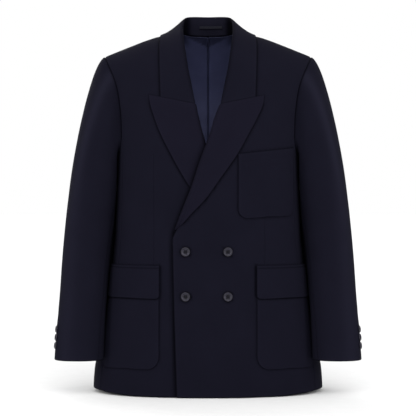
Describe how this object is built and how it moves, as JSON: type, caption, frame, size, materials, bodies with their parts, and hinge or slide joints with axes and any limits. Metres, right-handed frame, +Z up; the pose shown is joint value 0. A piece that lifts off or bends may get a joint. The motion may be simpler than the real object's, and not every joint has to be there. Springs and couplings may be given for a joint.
{
  "type": "double breasted blazer",
  "caption": "Double breasted blazer in dark navy wool, hollow as worn, with peak lapels, a patch chest pocket, flapped patch hip pockets, buttoned cuffs and a blue back lining.",
  "frame": {"origin": "between the shoulders at the base of the neck, where the worn blazer is held up", "axes": "+Z up, the fronts face -Y, +X towards the wearer's left"},
  "size_m": [0.6296, 0.2653, 0.7884],
  "materials": {
    "wool_navy": "matte wool twill",
    "lining_blue": "satin",
    "button_horn": "satin"
  },
  "bodies": {
    "root": {"front_left": "wool_navy", "front_right": "wool_navy", "side_left": "wool_navy", "side_right": "wool_navy", "back_left": "wool_navy", "back_right": "wool_navy", "lapel_left": "wool_navy", "lapel_right": "wool_navy", "collar": "wool_navy", "top_sleeve_left": "wool_navy", "top_sleeve_right": "wool_navy", "under_sleeve_left": "wool_navy", "under_sleeve_right": "wool_navy", "chest_pocket": "wool_navy", "pocket_left": "wool_navy", "pocket_right": "wool_navy", "flap_left": "wool_navy", "flap_right": "wool_navy", "hanging_loop": "wool_navy", "lining_back": "lining_blue", "front_button_1": "button_horn", "front_button_2": "button_horn", "front_button_3": "button_horn", "front_button_4": "button_horn", "cuff_button_left_1": "button_horn", "cuff_button_left_2": "button_horn", "cuff_button_left_3": "button_horn", "cuff_button_right_1": "button_horn", "cuff_button_right_2": "button_horn", "cuff_button_right_3": "button_horn"}
  },
  "joints": []
}
